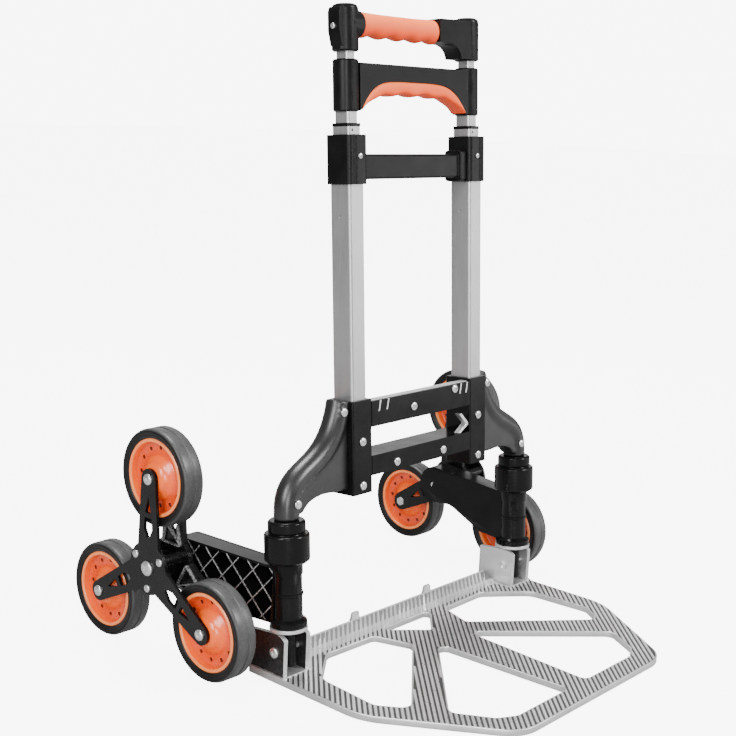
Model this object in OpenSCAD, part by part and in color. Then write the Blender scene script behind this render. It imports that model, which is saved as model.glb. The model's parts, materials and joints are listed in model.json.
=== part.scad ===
// Folding stair-climbing hand truck: telescopic frame, fold-down toe plate and
// two three-wheel stars on arms that swing in behind the frame.
// Millimetres. X runs across, -Y is the toe plate side, +Z is up, floor at Z = 0.
// The frame leans back by a few degrees; "leaned" parts have their Z along the tubes.

/* [Frame] */
// Lean of the frame towards the wheels, degrees
lean = 4; // [2:0.5:6]
// Middle plane to the centre of each main tube
tube_x = 107.5; // [104:0.5:112]
// Middle plane to the axis of each swivel post
post_x = 211.8; // [209:0.1:216]
// Width of the main tube across the frame
main_w = 24; // [24:0.5:25]
// Depth of the main tube front to back
main_d = 30; // [30:0.5:31]
// Height of the top end of the main tubes
main_top = 596; // [590:1:600]
// Wall of the main tube
main_wall = 1.5; // [1.4:0.1:1.5]

/* [Clamp] */
// Bottom of the clamp collars
clamp_z = 543; // [541:1:546]
// Height of the clamp collars
clamp_h = 54; // [51:1:55]
// Bottom of the bar between the collars
bridge_z = 548; // [547:1:550]
// Height of the bar between the collars
bridge_h = 28; // [24:1:30]

/* [Handles] */
// Bottom of the lower handle
low_handle_z = 622; // [620:0.2:623]
// Height of the lower handle's columns
low_handle_h = 56.2; // [54:0.2:57]
// Bottom of the upper handle
top_handle_z = 686.6; // [684:0.2:688]
// Height of the upper handle's columns
top_handle_h = 50.4; // [49:0.2:52]
// Radius of the lower handle's columns
low_column_r = 14.25; // [14:0.05:14.5]
// Radius of the upper handle's columns
top_column_r = 14.75; // [14.5:0.05:15]
// Radius of the upper grip
grip_r = 14.4; // [13:0.1:15]

/* [Bracket] */
// Bottom of the sockets that hold the main tubes
socket_z = 193; // [191:1:195]
// Top of the sockets
socket_top = 301.5; // [299:0.5:304]
// Width of a socket
socket_w = 32.4; // [32:0.1:33]
// Depth of a socket
socket_d = 38.4; // [38:0.1:39]
// Radius of the arched side tubes
arch_r = 14.5; // [13:0.5:15]

/* [Swivel] */
// Radius of the post's upper rod
rod_r = 11; // [10:0.5:12]
// Radius of the post's foot
foot_r = 8; // [7.5:0.5:8]
// Radius of the big collar
collar_r = 25.4; // [24:0.1:26]
// Radius of the wheel arm's sleeve
sleeve_r = 16; // [15:0.5:16.5]
// Radius of the sleeve's bottom flange
flange_r = 21; // [20:0.5:22]

/* [Toe plate] */
// Thickness of the toe plate
toe_t = 8; // [6:0.5:9]
// Half width of the toe plate
toe_x = 235; // [234:1:240]
// Front edge, measured forward of the posts
toe_front = 268; // [255:1:280]
// Back edge, measured behind the posts
toe_back = 36; // [34:1:38]
// Hinge pin behind the posts' zero line
hinge_y = 4.5; // [4:0.5:5]
// Hinge pin above the floor
hinge_z = 34; // [33:0.5:36]
// Radius of the hinge pin
hinge_r = 3.5; // [3:0.25:3.75]

/* [Wheels] */
// Radius of a tyre
tyre_r = 56; // [50:1:58]
// Width of a tyre
tyre_w = 28; // [24:1:28]
// Radius at the seat between rim and tyre
rim_r = 45; // [42:1:46]
// Star centre to each wheel centre
star_r = 104; // [102:1:110]
// Middle plane to the wheels' centre plane
wheel_x = 275; // [274:1:278]
// Star centre behind the posts' zero line
star_y = 147.8; // [146:0.2:152]
// Radius of the wheel bolts
bolt_r = 4; // [3.5:0.25:4.5]
// Radius of the star axle
axle_r = 6; // [5:0.5:7]

/* [Hidden] */
$fn = 64;
FIT = 0.05;                                   // radial gap of a running fit
star_z = tyre_r + star_r * sin(30);           // two wheels stand on the floor
row_y = (toe_front - star_y - star_r * cos(30) - tyre_r) / 2;  // centres the box on Y

// telescopic tubes: [width, depth, wall, bottom, top] with Z along the frame
lower_tube = [19.8, 25.8, 1.2, 300, 606];
middle_tube = [16, 21, 1, 320, low_handle_z + low_handle_h - 0.8];
top_tube = [13.2, 17.8, 1, 340, top_handle_z + 40];
guide_h = 14;                                 // height of the guides in the main tubes
ring_h = 3.5;                                 // visible height of the plastic tube rings
lock_hole_z = 507;

// colours
ALU = [0.76, 0.77, 0.78];
CAST = [0.82, 0.83, 0.85];
BLACK = [0.10, 0.10, 0.11];
GUN = [0.20, 0.20, 0.21];
ORANGE = [0.95, 0.40, 0.12];
GRIP = [0.98, 0.58, 0.40];
RUBBER = [0.14, 0.14, 0.15];
ZINC = [0.86, 0.86, 0.87];

beam_y = -socket_d / 2;                       // common front face of the bracket
beam_x = tube_x - socket_w / 2 - FIT;         // half length of the two beams
upper_beam_z = [268.5, 298.2];
lower_beam_z = [212, 235];
beam_plate = 4.2;                              // thickness of the upper beam's black front plate
upper_screws = [[-17, 282.5], [60.5, 293]];       // [across, height] in the upper beam
lower_screws = [[-48, 221], [38, 221]];
socket_screws = [203, 254];                   // heights on each socket
arm_screws = [[132.6, 291], [208, 200]];      // [across, height] on the arched tubes
SCREW_R = 2;                                  // shank
HEAD_R = 5;

// ---------------------------------------------------------------- helpers
module leaned() { translate([0, row_y, 0]) rotate([-lean, 0, 0]) children(); }
module level() { translate([0, row_y, 0]) children(); }
module on_side(right) { if (right) children(); else mirror([1, 0, 0]) children(); }
module both() { children(); mirror([1, 0, 0]) children(); }

// rectangle with round corners, from exact shapes
module round_rect(w, d, r) {
  square([w - 2 * r, d], center = true);
  square([w, d - 2 * r], center = true);
  for (x = [-1, 1], y = [-1, 1]) translate([x * (w / 2 - r), y * (d / 2 - r)]) circle(r);
}
module tube(w, d, wall, z0, z1) {
  translate([0, 0, z0]) linear_extrude(z1 - z0) difference() {
    round_rect(w, d, 3.2);
    round_rect(w - 2 * wall, d - 2 * wall, 1.8);
  }
}
module telescope(t) { tube(t[0], t[1], t[2], t[3], t[4]); }

// solid along +X from x0 to x1, with the sketch drawn in Y (first) and Z (second)
module along_x(x0, x1) { translate([x0, 0, 0]) rotate([90, 0, 90]) linear_extrude(x1 - x0) children(); }
// solid along +Y from y0 to y1, with the sketch drawn in X and Z
module along_y(y0, y1) { translate([0, y1, 0]) rotate([90, 0, 0]) linear_extrude(y1 - y0) children(); }
module rod_x(x0, x1, r) { translate([x0, 0, 0]) rotate([0, 90, 0]) cylinder(h = x1 - x0, r = r); }

// button-head screw whose head stands on the plane y = 0 and looks along -Y
module front_screw(shank = 3.4, head = HEAD_R) {
  rotate([90, 0, 0]) difference() {
    union() {
      cylinder(h = 2.2, r = head);
      translate([0, 0, -shank]) cylinder(h = shank + 1, r = SCREW_R);
    }
    translate([0, 0, 1]) cylinder(h = 3, r = head * 0.44, $fn = 6);
  }
}
module front_hole(depth = 8) {
  rotate([-90, 0, 0]) translate([0, 0, -1]) cylinder(h = depth + 1, r = SCREW_R + FIT);
}

// corner of a polygon rounded to radius r, as points on its arc
function unit(v) = v / norm(v);
function corner(a, b, c, r, n = 8) =
  let (u = unit(a - b), v = unit(c - b), half = acos(u * v) / 2,
       m = b + unit(u + v) * r / sin(half),
       p = b + u * r / tan(half), q = b + v * r / tan(half),
       a0 = atan2(p[1] - m[1], p[0] - m[0]), a1 = atan2(q[1] - m[1], q[0] - m[0]),
       turn = a1 - a0 > 180 ? a1 - a0 - 360 : a1 - a0 < -180 ? a1 - a0 + 360 : a1 - a0)
  [for (i = [0:n]) m + r * [cos(a0 + turn * i / n), sin(a0 + turn * i / n)]];
function rounded(pts, r) =
  [for (i = [0:len(pts) - 1])
    for (p = corner(pts[(i + len(pts) - 1) % len(pts)], pts[i], pts[(i + 1) % len(pts)], r[i % len(r)])) p];
function flip(pts) = [for (i = [len(pts) - 1:-1:0]) [-pts[i][0], pts[i][1]]];

// ---------------------------------------------------------------- frame
module main_tube(right) {
  color(ALU) leaned() on_side(right) translate([tube_x, 0, 0]) difference() {
    tube(main_w, main_d, main_wall, socket_z + 3, main_top);
    translate([0, 0, lock_hole_z]) rod_x(-main_w, main_w, 2);
  }
}
module tube_guides() {
  color(BLACK) leaned() both() translate([tube_x, 0, main_top - guide_h]) linear_extrude(guide_h)
    difference() {
      round_rect(main_w - 2 * main_wall - 2 * FIT, main_d - 2 * main_wall - 2 * FIT, 1.8);
      round_rect(lower_tube[0] + 4 * FIT, lower_tube[1] + 4 * FIT, 3.2);
    }
}
clamp_screw_z = 31;                           // above the bottom of a collar
module clamp_collar(right) {
  wall = 3.2;
  color(BLACK) leaned() on_side(right) translate([tube_x, 0, clamp_z]) difference() {
    linear_extrude(clamp_h) difference() {
      union() {
        round_rect(main_w + 2 * wall, main_d + 2 * wall, 5);
        for (x = [3.6, 7.4]) translate([x, -main_d / 2 - wall + 0.2]) circle(1.1);
      }
      round_rect(main_w + 2 * FIT, main_d + 2 * FIT, 3.2);
    }
    translate([-2, -main_d / 2 - wall, clamp_screw_z]) front_hole(2.6);
  }
}
module clamp_bridge() {
  x1 = tube_x - main_w / 2 - 3.2 - FIT;
  boss = 11;
  color(BLACK) leaned() union() {
    along_x(-x1, x1) translate([0, bridge_z + bridge_h / 2]) round_rect(18, bridge_h, 3);
    along_x(x1 - boss, x1) translate([0, bridge_z + bridge_h / 2]) round_rect(25, bridge_h + 9, 4);
  }
}
module socket(right) {
  color(BLACK) leaned() on_side(right) translate([tube_x, 0, 0]) difference() {
    translate([0, 0, socket_z]) linear_extrude(socket_top - socket_z) round_rect(socket_w, socket_d, 2);
    translate([0, 0, socket_z + 3 - FIT]) linear_extrude(socket_top)
      round_rect(main_w + 2 * FIT, main_d + 2 * FIT, 3.2);
    for (z = socket_screws) translate([0, beam_y, z]) front_hole(3.6);
  }
}
module upper_beam() {
  h = upper_beam_z[1] - upper_beam_z[0];
  slot = 3.2;
  color(BLACK) leaned() difference() {
    translate([-beam_x, beam_y, upper_beam_z[0]]) cube([2 * beam_x, beam_plate, h]);
    for (s = upper_screws) translate([s[0], beam_y, s[1]]) front_hole(4);
    for (x = [-80, -66, 70, 82]) along_y(beam_y - 1, 0)
      polygon([[x, 285], [x + slot, 285], [x + slot + 3.5, h + 271], [x + 3.5, h + 271]]);
  }
}
module beam_backing() {
  y0 = beam_y + beam_plate + FIT;
  color(CAST) leaned() translate([-beam_x, y0, upper_beam_z[0] + 2])
    cube([2 * beam_x, 10.4, upper_beam_z[1] - upper_beam_z[0] - 1.5]);
}
module lower_beam() {
  z0 = lower_beam_z[0];
  z1 = lower_beam_z[1];
  y1 = -beam_y;
  color(BLACK) leaned() difference() {
    along_x(-beam_x, beam_x)
      polygon([[beam_y, z0], [y1, z0], [y1, z0 + 4], [beam_y + 6, z0 + 4], [beam_y + 6, z1 - 4],
        [y1, z1 - 4], [y1, z1], [beam_y, z1]]);
    for (s = lower_screws) translate([s[0], beam_y, s[1]]) front_hole(4);
  }
}

// the arched tube runs on a cubic curve in the frame's plane
ARCH = [[126, 302], [146, 215], [post_x, 245], [post_x, 190]];
function arch_at(t) = pow(1 - t, 3) * ARCH[0] + 3 * t * pow(1 - t, 2) * ARCH[1]
  + 3 * t * t * (1 - t) * ARCH[2] + t * t * t * ARCH[3];
arch_steps = 7;
arch_end_z = 182;

module arch_tube() {
  path = concat([for (i = [0:arch_steps - 1]) arch_at(i / arch_steps)], [ARCH[3]]);
  for (i = [0:arch_steps - 1]) hull() for (p = [path[i], path[i + 1]])
    translate([p[0], 0, p[1]]) sphere(r = arch_r, $fn = 28);
  translate([post_x, 0, arch_end_z]) cylinder(h = ARCH[3][1] - arch_end_z, r = arch_r);
}
module arch_arm(right) {
  face_x = tube_x + socket_w / 2 + FIT;
  web = concat([for (i = [0:2 * arch_steps]) arch_at(i / arch_steps / 2)],
    [[post_x - 14, 187], [post_x - 26, 198], [post_x - 46, 202], [face_x, 199]]);
  color(GUN) leaned() on_side(right) difference() {
    union() {
      arch_tube();
      along_y(-11.5, 11.5) polygon(web);
      for (s = arm_screws) translate([s[0], -arch_r, s[1]]) rotate([-90, 0, 0]) cylinder(h = arch_r, r = 6);
    }
    translate([face_x - 40, -30, 180]) cube([40, 60, 160]);
    translate([post_x - 30, -30, 150]) cube([60, 60, arch_end_z - 150]);
    for (s = arm_screws) translate([s[0], -arch_r, s[1]]) front_hole(5);
  }
}
module post(right) {
  color(BLACK) leaned() on_side(right) difference() {
    translate([post_x, 0, 0]) union() {
      translate([0, 0, 15]) cylinder(h = 47, r = foot_r);
      translate([0, 0, 61]) cylinder(h = arch_end_z - 61 - FIT, r = rod_r);
    }
    rotate([lean, 0, 0]) translate([0, hinge_y, hinge_z]) rod_x(post_x - 20, post_x + 20, hinge_r + FIT);
  }
}
module post_collar(right) {
  b = rod_r + FIT;
  color(BLACK) leaned() on_side(right) translate([post_x, 0, 0]) rotate_extrude()
    polygon([[b, 134], [21, 134], [collar_r, 137.5], [collar_r, 166], [24, 167.5], [20, 167.5], [20, 169],
      [21, 170], [21, 180], [19, 182 - FIT], [b, 182 - FIT]]);
}
module foot_washers() {
  color(CAST) leaned() both() translate([post_x, 0, 57]) difference() {
    cylinder(h = 4, r = flange_r + 0.5);
    translate([0, 0, -1]) cylinder(h = 6, r = foot_r + FIT);
  }
}
module frame_screws() {
  color(ZINC) leaned() {
    for (s = concat(upper_screws, lower_screws)) translate([s[0], beam_y, s[1]]) front_screw();
    both() {
      for (z = socket_screws) translate([tube_x, beam_y, z]) front_screw();
      for (s = arm_screws) translate([s[0], -arch_r, s[1]]) front_screw();
      translate([tube_x - 2, -main_d / 2 - 3.2, clamp_z + clamp_screw_z]) front_screw(2.4, 3.2);
    }
  }
}
// bent strip that keeps the folded toe plate from rattling
module stay_clip() {
  x0 = beam_x - 0.1;
  z0 = lower_beam_z[1] + FIT;
  color(ZINC) leaned() along_y(-17, -9)
    polygon([[x0 - 17.5, z0 + 23.5], [x0 - 13.5, z0 + 24.5], [x0, z0 + 11], [x0, z0 + 8.5], [x0 - 15.5, z0],
      [x0 - 19.5, z0], [x0 - 4.5, z0 + 9.8]]);
}

// ---------------------------------------------------------------- telescopic stages
module lower_stage_tube(right) {
  color(ALU) leaned() on_side(right) translate([tube_x, 0, 0]) difference() {
    telescope(lower_tube);
    translate([right ? -4 : 4, -lower_tube[1] / 2, lower_tube[4] - 4]) rotate([90, 0, 0])
      cylinder(h = 4, r = 1.3, center = true);
  }
}
module tube_ring(right) {
  w = lower_tube[0] - 2 * lower_tube[2] - 2 * FIT;
  d = lower_tube[1] - 2 * lower_tube[2] - 2 * FIT;
  color(BLACK) leaned() on_side(right) translate([tube_x, 0, lower_tube[4]]) difference() {
    union() {
      linear_extrude(ring_h) round_rect(lower_tube[0] + 1, lower_tube[1] + 1, 3.4);
      translate([0, 0, -12]) linear_extrude(13) round_rect(w, d, 1.8);
    }
    translate([0, 0, -13]) linear_extrude(20)
      round_rect(middle_tube[0] + 4 * FIT, middle_tube[1] + 4 * FIT, 3.2);
  }
}
module middle_tubes() {
  color(ALU) leaned() both() translate([tube_x, 0, 0]) telescope(middle_tube);
}
module top_tubes() {
  color(ALU) leaned() both() translate([tube_x, 0, 0]) telescope(top_tube);
}

// underside of the lower handle's bar, and of the pad below it, across the frame
grip_x = tube_x - low_column_r;
function arch_under(x) = low_handle_z + 35 - 34 * pow(abs(x) / grip_x, 5);
function pad_under(x) = low_handle_z + 18.5 - 17 * pow(abs(x) / grip_x, 4);
pad_x = grip_x - 1.5;                         // half length of the pad
pad_steps = 24;
pad_xs = [for (i = [0:pad_steps]) -pad_x + 2 * pad_x * i / pad_steps];
handle_half = 10.5;                            // half depth of the lower handle's bar

module lower_handle() {
  top = low_handle_z + 53;
  x1 = grip_x + 2;
  color(BLACK) leaned() difference() {
    union() {
      both() translate([tube_x, 0, low_handle_z]) rotate_extrude()
        polygon([[0, 0], [low_column_r - 1.5, 0], [low_column_r, 1.5], [low_column_r, low_handle_h - 1.5],
          [low_column_r - 1.5, low_handle_h], [0, low_handle_h]]);
      along_y(-handle_half, handle_half)
        polygon(concat([[x1, top], [-x1, top], [-x1, arch_under(grip_x)]],
          [for (x = pad_xs) [x, arch_under(x)]], [[x1, arch_under(grip_x)]]));
    }
    both() translate([tube_x, 0, low_handle_z - 1]) linear_extrude(low_handle_h + 2)
      round_rect(middle_tube[0] + 2 * FIT, middle_tube[1] + 2 * FIT, 3.2);
  }
}
module lower_grip() {
  color(GRIP) leaned() along_y(-handle_half, handle_half)
    polygon(concat([for (x = pad_xs) [x, arch_under(x) - FIT]],
      [for (i = [pad_steps:-1:0]) [pad_xs[i], pad_under(pad_xs[i])]]));
}

grip_z = top_handle_z + 29.6;                 // axis of the upper grip
grip_span = [-90, 42.5];
button_z = top_handle_z + 26;
button_r = 3.2;
bulge = 3.5;                                  // how far the button's seat stands out of its column
button_travel = 2.5;

module upper_handle() {
  h = top_handle_h;
  r = top_column_r;
  core_r = 8;
  color(BLACK) leaned() difference() {
    union() {
      both() translate([tube_x, 0, top_handle_z]) rotate_extrude()
        polygon([[0, 0], [r - 1.5, 0], [r, 1.5], [r, h - 5], [r - 1.5, h - 1.5], [r - 5, h], [0, h]]);
      translate([0, 0, grip_z]) rod_x(grip_span[0] - 8, grip_span[1] + 4, core_r);
      translate([0, 0, grip_z]) rod_x(-tube_x, grip_span[0] - 0.2, grip_r + 0.8);
      translate([0, 0, top_handle_z]) along_y(-12.5, 12.5) polygon([[grip_span[1] + 0.2, 45], [tube_x, 46.5],
        [tube_x, 1.5], [82.5, 1.5], [81.5, 6], [78, 11], [72.5, 15], [65, 17.5], [grip_span[1] + 0.2, 18.5]]);
      translate([-tube_x, 0, top_handle_z]) along_y(-8.5, 8.5)
        polygon([[0, h - 4], [-r - 1, h - 4], [-r - bulge, h - 9], [-r - bulge, 21], [-r + 0.5, 5], [0, 5]]);
    }
    both() translate([tube_x, 0, top_handle_z - 1]) linear_extrude(top_tube[4] + 1.1 - top_handle_z)
      round_rect(top_tube[0] + 2 * FIT, top_tube[1] + 2 * FIT, 3.2);
    translate([-tube_x, 0, button_z]) rod_x(-r - 10, -8.5, button_r + FIT);
  }
}
module upper_grip() {
  color(GRIP) leaned() translate([0, 0, grip_z]) difference() {
    rod_x(grip_span[0], grip_span[1], grip_r);
    rod_x(grip_span[0] - 1, grip_span[1] + 1, 8 + FIT);
  }
}
module release_button() {
  outer = -tube_x - top_column_r - bulge;
  color(ZINC) leaned() translate([0, 0, button_z])
    rod_x(outer - button_travel, -tube_x - 8.5 - button_travel - 0.3, button_r);
}

// ---------------------------------------------------------------- toe plate
bracket_wall = 6;
bracket_half = 17.5;                          // post axis to the middle of each bracket wall
bracket_back = 44;
bracket_swing = 22.2;                         // the bracket's top clears the washer when it turns
lip_h = 12;
lip_y = 12;
pad_h = 1;                                    // height of the pad under each bracket

toe_outline = concat(
  rounded([[toe_x, bracket_back], [toe_x, -127], [140, -toe_front], [-140, -toe_front], [-toe_x, -127],
    [-toe_x, bracket_back], [-188, bracket_back], [-188, toe_back], [188, toe_back], [188, bracket_back]],
    [3, 75, 45, 45, 75, 3, 3, 3, 3, 3]));
side_window = [[68, 3], [146, 5], [199, -38], [205, -120], [182, -152], [52, -44]];
front_window = [[28, -64], [160, -186], [134, -228], [112, -240], [18, -240]];
back_window = [[-47, 11], [47, 11], [0, -31]];
window_r = [8];

module toe_plate() {
  windows = [rounded(side_window, window_r), flip(rounded(side_window, window_r)),
    rounded(front_window, window_r), flip(rounded(front_window, window_r)), rounded(back_window, [5])];
  lip_x = post_x - bracket_half - bracket_wall / 2 - 2;
  color(CAST) level() union() {
    linear_extrude(toe_t) difference() {
      polygon(toe_outline);
      for (w = windows) polygon(w);
    }
    along_x(-lip_x, lip_x) polygon([[lip_y, toe_t - 1], [toe_back, toe_t - 1], [toe_back, toe_t + lip_h],
      [toe_back - 3, toe_t + lip_h], [lip_y, toe_t + 0.6]]);
    both() translate([188, -12, toe_t - 1]) cube([toe_x - 188, bracket_back + 12, 1 + pad_h]);
    for (x = [-68, 68]) translate([x - 6, toe_back - 3, toe_t]) cube([12, 3, lip_h + 9]);
  }
}
module foot_bracket(right) {
  front = -10;
  top = sqrt(pow(bracket_swing, 2) - pow(hinge_y - front, 2));
  nose = atan2(top, front - hinge_y);
  wall = concat([[front, toe_t + pad_h + FIT]],
    [for (i = [0:8]) let (a = nose + (90 - nose) * i / 8)
      [hinge_y, hinge_z] + bracket_swing * [cos(a), sin(a)]],
    [[bracket_back, hinge_z + bracket_swing - 4.2], [bracket_back, toe_t + pad_h + FIT]]);
  color(CAST) level() on_side(right) translate([post_x, 0, 0]) difference() {
    union() {
      for (s = [-1, 1]) translate([s * bracket_half, 0, 0])
        along_x(-bracket_wall / 2, bracket_wall / 2) polygon(wall);
      translate([-bracket_half, bracket_back - 5, toe_t + pad_h + FIT]) cube([2 * bracket_half, 5, 13]);
    }
    translate([0, hinge_y, hinge_z]) rod_x(-30, 30, hinge_r + FIT);
  }
}
module toe_hinge_bolts() {
  x0 = post_x - bracket_half - bracket_wall / 2;
  x1 = post_x + bracket_half + bracket_wall / 2;
  color(ZINC) level() both() translate([0, hinge_y, hinge_z]) {
    rod_x(x0 - 3.2, x1 + 1, hinge_r);
    rod_x(x1 + FIT, x1 + 3.5, 6.5);
    difference() {
      rod_x(x0 - 3.2, x0 - FIT, 6.2);
      rod_x(x0 - 6, x0 - 3, 2);
    }
  }
}

// ---------------------------------------------------------------- wheel arms
arm_hub_r = 26;
sleeve_z = [61.5, 133.6];

module wheel_arm(right) {
  hub_in = wheel_x - 57;
  hub_out = wheel_x - 22.6;
  b = rod_r + FIT;
  side = concat([[6, 66], [58, 64], [118, 86]],
    [for (a = [-75:15:90]) [star_y, star_z] + arm_hub_r * [cos(a), sin(a)]], [[6, 130]]);
  plan = [[post_x - 13, 0], [post_x + 14, 0], [wheel_x - 30, star_y - 30], [hub_out, star_y - 14],
    [hub_out, star_y + 30], [hub_in, star_y + 30], [hub_in, star_y - 14]];
  color(BLACK) on_side(right) difference() {
    union() {
      level() intersection() {
        along_x(post_x - 30, wheel_x) polygon(side);
        translate([0, 0, 40]) linear_extrude(120) polygon(plan);
      }
      leaned() translate([post_x, 0, 0]) rotate_extrude() polygon([[b, sleeve_z[0]], [flange_r, sleeve_z[0]],
        [flange_r, 68], [19, 70], [sleeve_r, 70], [sleeve_r, 97], [sleeve_r + 1.5, 97.5],
        [sleeve_r + 1.5, 99.5], [sleeve_r, 100], [sleeve_r, 121], [sleeve_r + 1.2, 122],
        [sleeve_r + 1.2, sleeve_z[1]], [b, sleeve_z[1]]]);
      leaned() for (a = [80:16:190]) translate([post_x, 0, sleeve_z[0]]) rotate([0, 0, a])
        translate([flange_r - 1, -1.6, 0]) cube([3.5, 3.2, 6]);
    }
    leaned() translate([post_x, 0, 40]) cylinder(h = 120, r = b);
    level() translate([0, star_y, star_z]) rod_x(150, wheel_x, axle_r + FIT);
  }
}
module star_axle(right) {
  hub_in = wheel_x - 57;
  color(ZINC) level() on_side(right) translate([0, star_y, star_z]) union() {
    rod_x(hub_in - 1, wheel_x + 21, axle_r);
    rod_x(hub_in - 3.6, hub_in - FIT, 9);
    rod_x(wheel_x + 20.4, wheel_x + 24.2, 9);
  }
}

// ---------------------------------------------------------------- stars and wheels
star_inner = wheel_x - 22;                    // inner face of the inner plate
star_outer = wheel_x + 16;                    // inner face of the outer plate
inner_t = 6;
outer_t = 4;
screw_ring = 24;                              // small screws round the star's centre
wheel_angles = [90, 210, 330];
tri_hole = [[84, 0], [65, 5], [65, -5]];
mid_hole = [[59, -6], [59, 6], [46, 7], [36, 2], [36, -2], [46, -7]];

module at_star(right) { level() on_side(right) translate([0, star_y, star_z]) children(); }
module star_sketch(tip, root) {
  difference() {
    union() {
      circle(31);
      for (a = wheel_angles) rotate(a) {
        translate([star_r, 0]) circle(tip);
        polygon([[6, -root], [star_r, -tip], [star_r, tip], [6, root]]);
      }
    }
    circle(axle_r + FIT);
    for (a = wheel_angles) {
      rotate(a) translate([star_r, 0]) circle(bolt_r + FIT);
      rotate(a) polygon(tri_hole);
      rotate(a) polygon(mid_hole);
      rotate(a + 60) translate([screw_ring, 0]) circle(2.5 + FIT);
    }
  }
}
module star_outer_plate(right) {
  color(BLACK) at_star(right) along_x(star_outer, star_outer + outer_t) star_sketch(12, 19);
}
module star_inner_plate(right) {
  color(BLACK) at_star(right) along_x(star_inner, star_inner + inner_t) star_sketch(13, 21);
}
module star_hub(right) {
  color(BLACK) at_star(right) along_x(star_inner + inner_t + FIT, star_outer - FIT) difference() {
    union() {
      circle(16);
      for (a = wheel_angles) rotate(a + 60) translate([screw_ring, 0]) circle(6.5);
      for (a = wheel_angles) rotate(a + 60) translate([0, -4]) square([screw_ring, 8]);
    }
    circle(axle_r + FIT);
    for (a = wheel_angles) rotate(a + 60) translate([screw_ring, 0]) circle(2.5 + FIT);
  }
}
// all the star's bolts; the sketch plane's first axis is Y and its second is Z
module star_bolts(right) {
  color(ZINC) at_star(right) {
    for (a = wheel_angles) translate([0, star_r * cos(a), star_r * sin(a)]) {
      rod_x(star_inner - 3.4, star_outer + outer_t + 1, bolt_r);
      rod_x(star_outer + outer_t + FIT, star_outer + outer_t + 3.5, 6.5);
      rod_x(star_inner - 3.4, star_inner - FIT, 6.5);
    }
    for (a = wheel_angles) translate([0, screw_ring * cos(a + 60), screw_ring * sin(a + 60)]) {
      rod_x(star_inner + 0.2, star_outer + outer_t + 1, 2.5);
      rod_x(star_outer + outer_t + FIT, star_outer + outer_t + 2.6, 4.6);
    }
  }
}
module at_wheel(right, place) {
  a = wheel_angles[place];
  ahead = place == 0 ? 0 : place == 1 ? -1 : 1;
  at_star(right) translate([wheel_x, ahead * star_r * abs(cos(a)), star_r * sin(a)])
    rotate([0, 90, 0]) children();
}
module rim(right, place) {
  dome = 15.4;
  color(ORANGE) at_wheel(right, place) difference() {
    rotate_extrude() polygon([[bolt_r + FIT, -dome], [13, -dome], [25, -8], [27, -3], [rim_r - 5, -3],
      [rim_r - 5, -12], [rim_r, -12], [rim_r, 12], [rim_r - 5, 12], [rim_r - 5, 3], [27, 3], [25, 8],
      [13, dome], [bolt_r + FIT, dome]]);
    for (a = [0:30:330]) rotate(a) translate([33.5, 0, -5]) cylinder(h = 10, r = 2.2);
  }
}
module tyre(right, place) {
  w = tyre_w / 2;
  color(RUBBER) at_wheel(right, place) rotate_extrude()
    polygon([[rim_r + 0.02, -12], [rim_r + 1.5, -12.5], [rim_r + 6, -w], [tyre_r - 3, -w + 1.5],
      [tyre_r - 0.8, -w + 5], [tyre_r, -3], [tyre_r - 1, -1.5], [tyre_r - 1, 1.5], [tyre_r, 3],
      [tyre_r - 0.8, w - 5], [tyre_r - 3, w - 1.5], [rim_r + 6, w], [rim_r + 1.5, 12.5], [rim_r + 0.02, 12]]);
}

// ---------------------------------------------------------------- the parts
main_tube(false);  // left_main_tube
main_tube(true);  // right_main_tube
tube_guides();
clamp_collar(false);  // left_clamp_collar
clamp_collar(true);  // right_clamp_collar
clamp_bridge();
socket(false);  // left_socket
socket(true);  // right_socket
upper_beam();
beam_backing();
lower_beam();
arch_arm(false);  // left_arch_arm
arch_arm(true);  // right_arch_arm
post(false);  // left_post
post(true);  // right_post
post_collar(false);  // left_post_collar
post_collar(true);  // right_post_collar
foot_washers();
frame_screws();
stay_clip();
lower_stage_tube(false);  // left_lower_tube
tube_ring(false);  // left_tube_ring
lower_stage_tube(true);  // right_lower_tube
tube_ring(true);  // right_tube_ring
middle_tubes();
lower_handle();
lower_grip();
top_tubes();
upper_handle();
upper_grip();
release_button();
toe_plate();
foot_bracket(false);  // left_foot_bracket
foot_bracket(true);  // right_foot_bracket
toe_hinge_bolts();
wheel_arm(false);  // left_wheel_arm
wheel_arm(true);  // right_wheel_arm
star_axle(false);  // left_star_axle
star_axle(true);  // right_star_axle
star_hub(false);  // left_star_hub
star_outer_plate(false);  // left_star_outer_plate
star_inner_plate(false);  // left_star_inner_plate
star_bolts(false);  // left_star_bolts
star_hub(true);  // right_star_hub
star_outer_plate(true);  // right_star_outer_plate
star_inner_plate(true);  // right_star_inner_plate
star_bolts(true);  // right_star_bolts
rim(false, 0);  // left_top_rim
tyre(false, 0);  // left_top_tyre
rim(false, 1);  // left_front_rim
tyre(false, 1);  // left_front_tyre
rim(false, 2);  // left_back_rim
tyre(false, 2);  // left_back_tyre
rim(true, 0);  // right_top_rim
tyre(true, 0);  // right_top_tyre
rim(true, 1);  // right_front_rim
tyre(true, 1);  // right_front_tyre
rim(true, 2);  // right_back_rim
tyre(true, 2);  // right_back_tyre
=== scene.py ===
# %% [markdown]
# # A folding stair-climbing hand truck
# The design already exists as solid parts with joints. This script leaves those parts where they are and
# gives them their looks: finer meshes where a moulding or a casting needs them, and a procedural material
# everywhere. The frame comes first, because every place below is read from it.

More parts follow.
